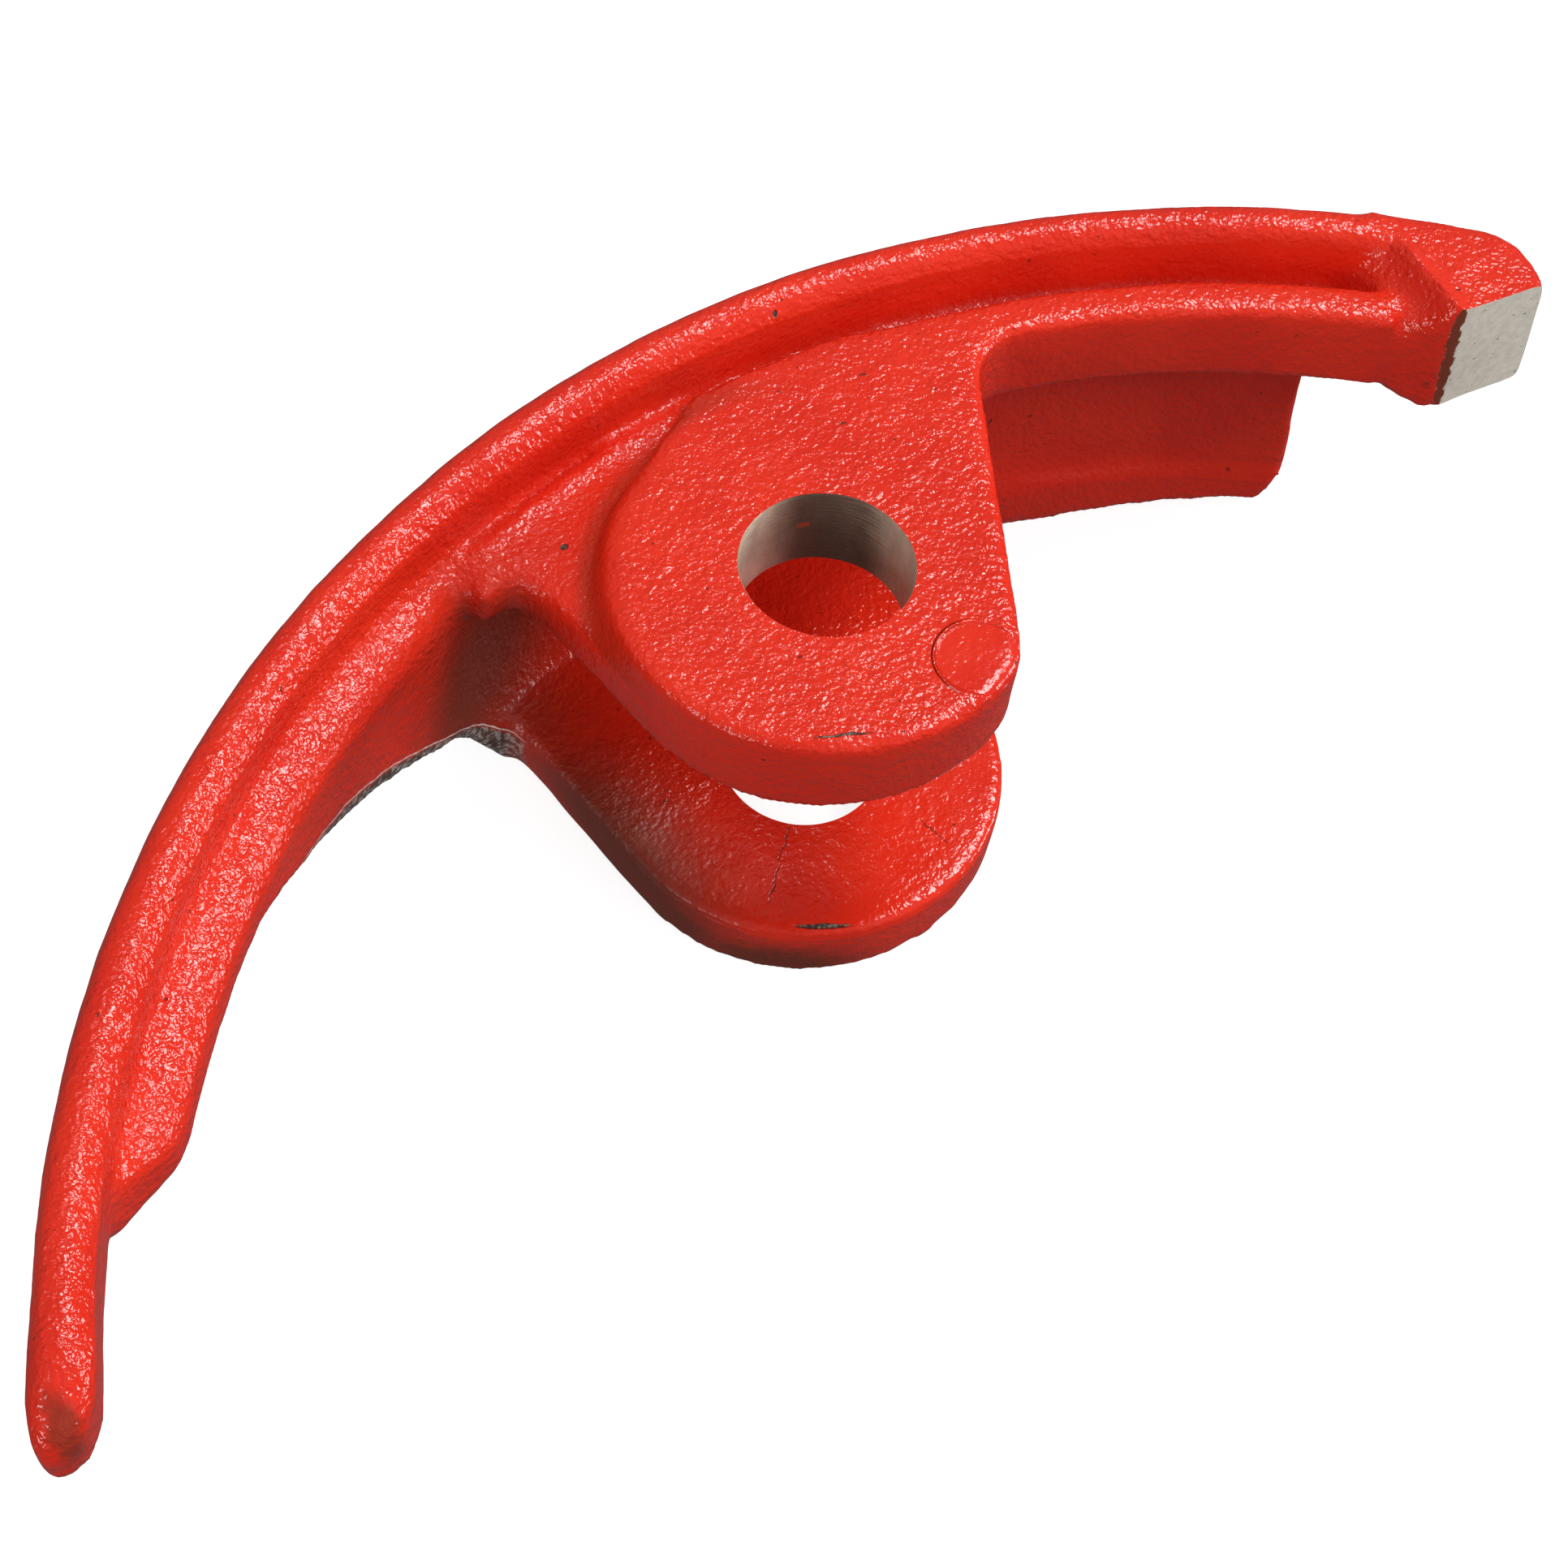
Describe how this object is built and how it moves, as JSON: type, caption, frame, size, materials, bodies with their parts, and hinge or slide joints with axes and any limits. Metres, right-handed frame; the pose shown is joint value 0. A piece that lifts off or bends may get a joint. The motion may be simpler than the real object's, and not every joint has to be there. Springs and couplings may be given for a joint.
{
  "type": "pipe cutter arm",
  "caption": "Curved cast arm of a hinged pipe cutter: a rail along an arc, a forked pivot end with a cross bore, a tapered tail and a flat-faced nose.",
  "frame": {"origin": "bottom centre of the casting's bounding box, on the plane of the lower ear's outer face", "axes": "+Z along the pivot bore from the lower ear to the upper ear; +X along the rail towards the nose; +Y from the pivot outward to the rail"},
  "size_m": [0.1412, 0.0474, 0.033],
  "materials": {
    "red_enamel": "gloss enamel over a sand-cast surface"
  },
  "bodies": {
    "root": {"arm_casting": "red_enamel"}
  },
  "joints": []
}
